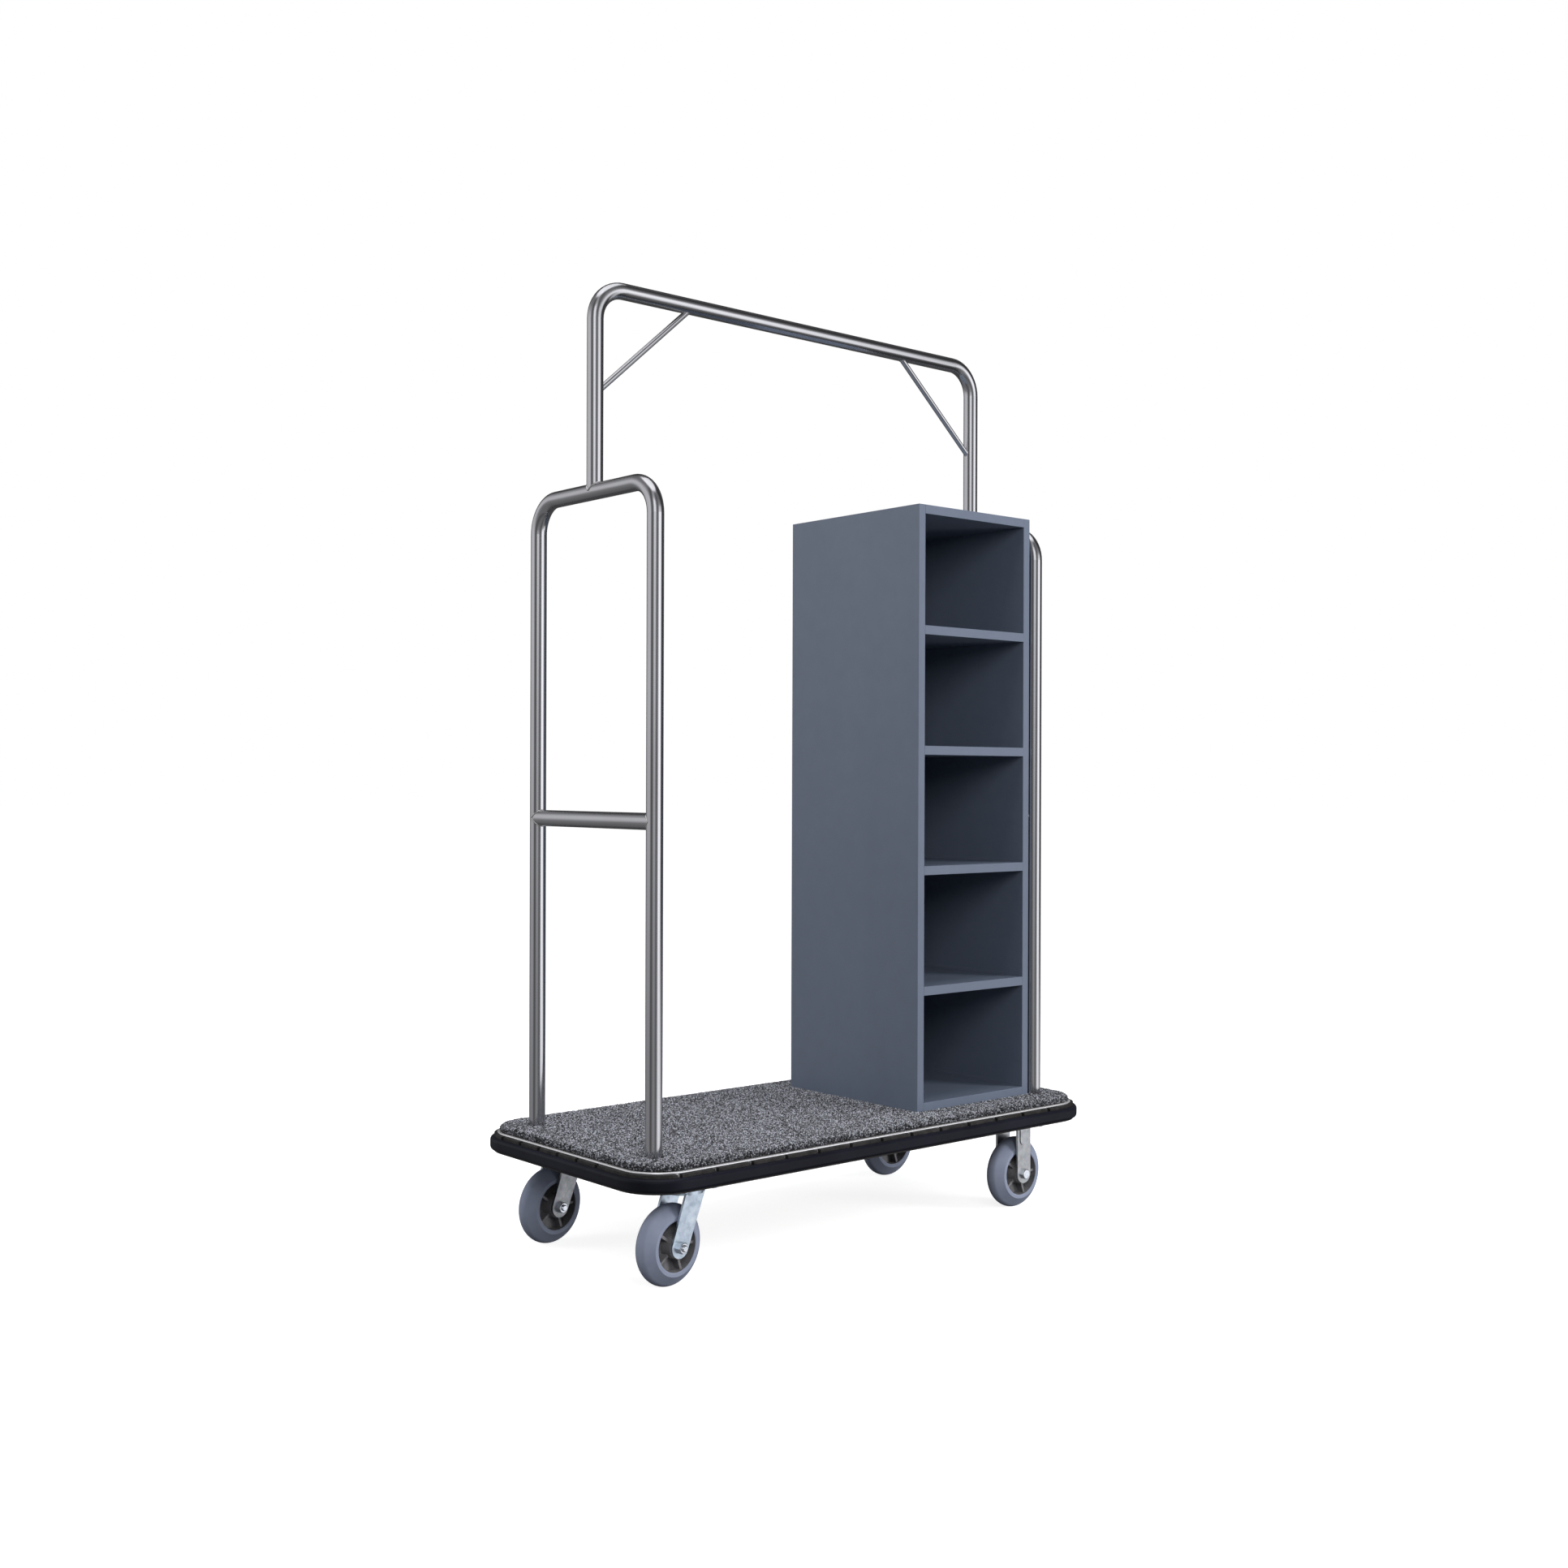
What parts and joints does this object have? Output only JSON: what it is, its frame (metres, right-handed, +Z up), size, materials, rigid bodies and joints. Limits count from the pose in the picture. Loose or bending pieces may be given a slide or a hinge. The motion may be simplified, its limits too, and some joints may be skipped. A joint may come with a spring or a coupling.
{
  "type": "hotel luggage cart",
  "caption": "Hotel luggage cart: carpeted deck with bumper, two tube hoops, a hanging rail with braces, an open shelf cabinet and swivel and rigid casters.",
  "frame": {"origin": "on the floor under the middle of the deck", "axes": "+Z up, +X along the deck towards the cabinet end, -Y towards the side that the cabinet opens to"},
  "size_m": [1.218, 0.598, 1.8966],
  "materials": {
    "deck_steel": "black powder coat",
    "plywood": "raw plywood",
    "carpet": "cut pile, heather grey and black",
    "polished_trim": "polished stainless",
    "track": "dull anodised",
    "bumper_vinyl": "satin vinyl",
    "brushed_tube": "satin brushed",
    "zinc_steel": "bright zinc plate",
    "cabinet_board": "slate grey laminate, satin",
    "dowel_wood": "beech",
    "grey_rubber": "grey soft rubber, matt",
    "core_plastic": "dark grey moulded core",
    "bearing_steel": "ground steel"
  },
  "bodies": {
    "cart": {"deck_frame": "deck_steel", "caster_channel_left": "deck_steel", "caster_channel_right": "deck_steel", "stringer_front": "deck_steel", "stringer_rear": "deck_steel", "deck_board": "plywood", "carpet": "carpet", "edge_trim": "polished_trim", "bumper_track": "track", "bumper": "bumper_vinyl", "hoop_left": "brushed_tube", "hoop_right": "brushed_tube", "crossbar_left": "brushed_tube", "crossbar_right": "brushed_tube", "hanging_rail": "brushed_tube", "brace_left": "brushed_tube", "brace_right": "brushed_tube", "post_plugs": "zinc_steel", "post_bolts": "zinc_steel", "cabinet_side_left": "cabinet_board", "cabinet_side_right": "cabinet_board", "cabinet_top": "cabinet_board", "cabinet_bottom": "cabinet_board", "cabinet_back": "cabinet_board", "shelf_1": "cabinet_board", "shelf_2": "cabinet_board", "shelf_3": "cabinet_board", "shelf_4": "cabinet_board", "cabinet_dowels": "dowel_wood", "cabinet_screws": "zinc_steel", "caster_plate_front_left": "zinc_steel", "caster_plate_rear_left": "zinc_steel", "swivel_balls": "zinc_steel", "kingpins": "zinc_steel", "caster_bolts": "zinc_steel", "caster_nuts": "zinc_steel", "fork_front_right": "zinc_steel", "axle_bolt_front_right": "zinc_steel", "axle_nut_front_right": "zinc_steel", "fork_rear_right": "zinc_steel", "axle_bolt_rear_right": "zinc_steel", "axle_nut_rear_right": "zinc_steel"},
    "swivel_front_left": {"fork_front_left": "zinc_steel", "axle_bolt_front_left": "zinc_steel", "axle_nut_front_left": "zinc_steel"},
    "wheel_front_left": {"tyre_front_left": "grey_rubber", "wheel_core_front_left": "core_plastic", "wheel_bearing_front_left": "bearing_steel"},
    "swivel_rear_left": {"fork_rear_left": "zinc_steel", "axle_bolt_rear_left": "zinc_steel", "axle_nut_rear_left": "zinc_steel"},
    "wheel_rear_left": {"tyre_rear_left": "grey_rubber", "wheel_core_rear_left": "core_plastic", "wheel_bearing_rear_left": "bearing_steel"},
    "wheel_front_right": {"tyre_front_right": "grey_rubber", "wheel_core_front_right": "core_plastic", "wheel_bearing_front_right": "bearing_steel"},
    "wheel_rear_right": {"tyre_rear_right": "grey_rubber", "wheel_core_rear_right": "core_plastic", "wheel_bearing_rear_right": "bearing_steel"}
  },
  "joints": [
    {"name": "swivel_front_left", "type": "hinge", "parent": "cart", "child": "swivel_front_left", "pos_m": [-0.454, -0.199, 0.178], "axis": [0, 0, 1], "continuous": true},
    {"name": "roll_front_left", "type": "hinge", "parent": "swivel_front_left", "child": "wheel_front_left", "pos_m": [-0.49271, -0.20375, 0.0762], "axis": [-0.1219, 0.9925, 0], "continuous": true},
    {"name": "swivel_rear_left", "type": "hinge", "parent": "cart", "child": "swivel_rear_left", "pos_m": [-0.454, 0.199, 0.178], "axis": [0, 0, 1], "continuous": true},
    {"name": "roll_rear_left", "type": "hinge", "parent": "swivel_rear_left", "child": "wheel_rear_left", "pos_m": [-0.49262, 0.19357, 0.0762], "axis": [-0.1392, 0.9903, 0], "continuous": true},
    {"name": "roll_front_right", "type": "hinge", "parent": "cart", "child": "wheel_front_right", "pos_m": [0.454, -0.199, 0.0762], "axis": [0, 1, 0], "continuous": true},
    {"name": "roll_rear_right", "type": "hinge", "parent": "cart", "child": "wheel_rear_right", "pos_m": [0.454, 0.199, 0.0762], "axis": [0, 1, 0], "continuous": true}
  ]
}
